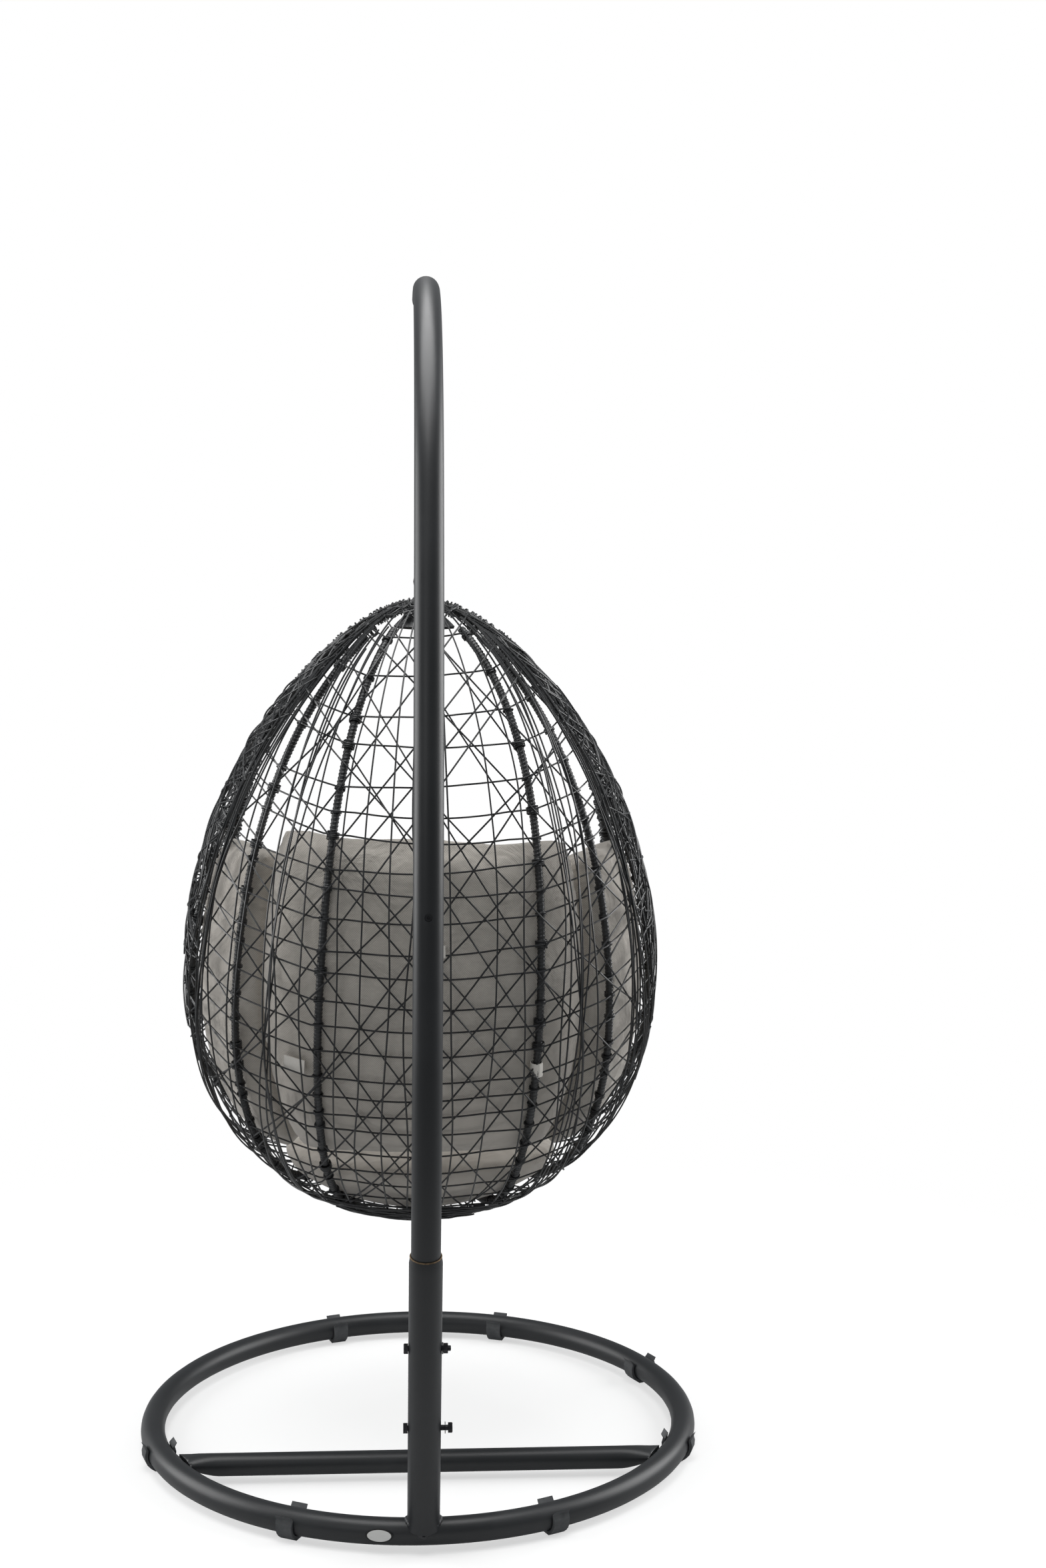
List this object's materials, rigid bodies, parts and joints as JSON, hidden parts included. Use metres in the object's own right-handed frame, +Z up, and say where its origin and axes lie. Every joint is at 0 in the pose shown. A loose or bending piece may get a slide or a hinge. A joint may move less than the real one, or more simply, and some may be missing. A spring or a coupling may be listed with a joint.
{
  "type": "hanging egg chair",
  "caption": "Egg-shaped woven basket seat with cushions, hung on a spring and swivel from a C-shaped pole on a ring base.",
  "frame": {"origin": "on the floor, under the middle of the object's box", "axes": "+Z up, the basket's open front faces -Y, the pole stands at +Y, +X is the sitter's left"},
  "size_m": [0.9486, 1.0944, 1.96],
  "materials": {
    "powder_coat": "satin charcoal powder coat with a fine orange-peel texture",
    "zinc": "zinc plated",
    "spring_steel": "plated spring wire",
    "foot_rubber": "matt grey rubber",
    "badge_silver": "blank satin plate",
    "cap_plastic": "matt black",
    "wicker": "black twisted synthetic rattan with a soft gloss",
    "hoop_wrap": "steel tube bound with black synthetic rattan",
    "cushion_fabric": "coarse plain weave, warm light grey"
  },
  "bodies": {
    "stand": {"base_ring": "powder_coat", "base_cross_tube": "powder_coat", "foot_clip_1": "foot_rubber", "foot_clip_2": "foot_rubber", "foot_clip_3": "foot_rubber", "foot_clip_4": "foot_rubber", "foot_clip_5": "foot_rubber", "foot_clip_6": "foot_rubber", "foot_clip_7": "foot_rubber", "blank_badge": "badge_silver", "post_socket": "powder_coat", "main_post": "powder_coat", "post_lock_screw": "zinc", "arm_end_cap": "cap_plastic", "arm_eye": "powder_coat", "socket_bolt_upper": "zinc", "socket_washer_upper": "zinc", "socket_nut_upper": "zinc", "socket_bolt_lower": "zinc", "socket_washer_lower": "zinc", "socket_nut_lower": "zinc"},
    "link": {"upper_quick_link": "zinc", "upper_link_nut": "zinc"},
    "swivel": {"swivel_housing": "zinc"},
    "spindle": {"swivel_spindle": "zinc", "spring_top_hook": "zinc", "extension_spring": "spring_steel"},
    "basket": {"spring_bottom_hook": "zinc", "lower_quick_link": "zinc", "lower_link_nut": "zinc", "basket_link": "zinc", "crown_eye": "powder_coat", "rim_hoop": "hoop_wrap", "rib_left_1": "wicker", "rib_left_2": "wicker", "rib_left_3": "wicker", "rib_right_1": "wicker", "rib_right_2": "wicker", "rib_right_3": "wicker", "crown_gusset": "powder_coat", "lip_gusset": "powder_coat", "weave_left": "wicker", "weave_back": "wicker", "weave_right": "wicker", "tie_strap_right": "cushion_fabric", "tie_tab_left": "cushion_fabric", "tie_tab_middle": "cushion_fabric", "back_cushion": "cushion_fabric", "side_bolster_left": "cushion_fabric", "side_bolster_right": "cushion_fabric", "seat_cushion": "cushion_fabric"}
  },
  "joints": [
    {"name": "fore_aft_swing", "type": "hinge", "parent": "stand", "child": "link", "pos_m": [0, -0.07288, 1.8845], "axis": [1, 0, 0], "range_deg": [-20, 5]},
    {"name": "side_swing", "type": "hinge", "parent": "link", "child": "swivel", "pos_m": [0, -0.07288, 1.84], "axis": [0, 1, 0], "range_deg": [-14, 14]},
    {"name": "turn", "type": "hinge", "parent": "swivel", "child": "spindle", "pos_m": [0, -0.07288, 1.8], "axis": [0, 0, 1], "continuous": true},
    {"name": "spring_bounce", "type": "slide", "parent": "spindle", "child": "basket", "axis": [0, 0, 1], "range_m": [-0.05, 0.006], "stiffness_N_per_m": 9000, "springref_m": 0.0128, "deforming": ["extension_spring"]}
  ]
}
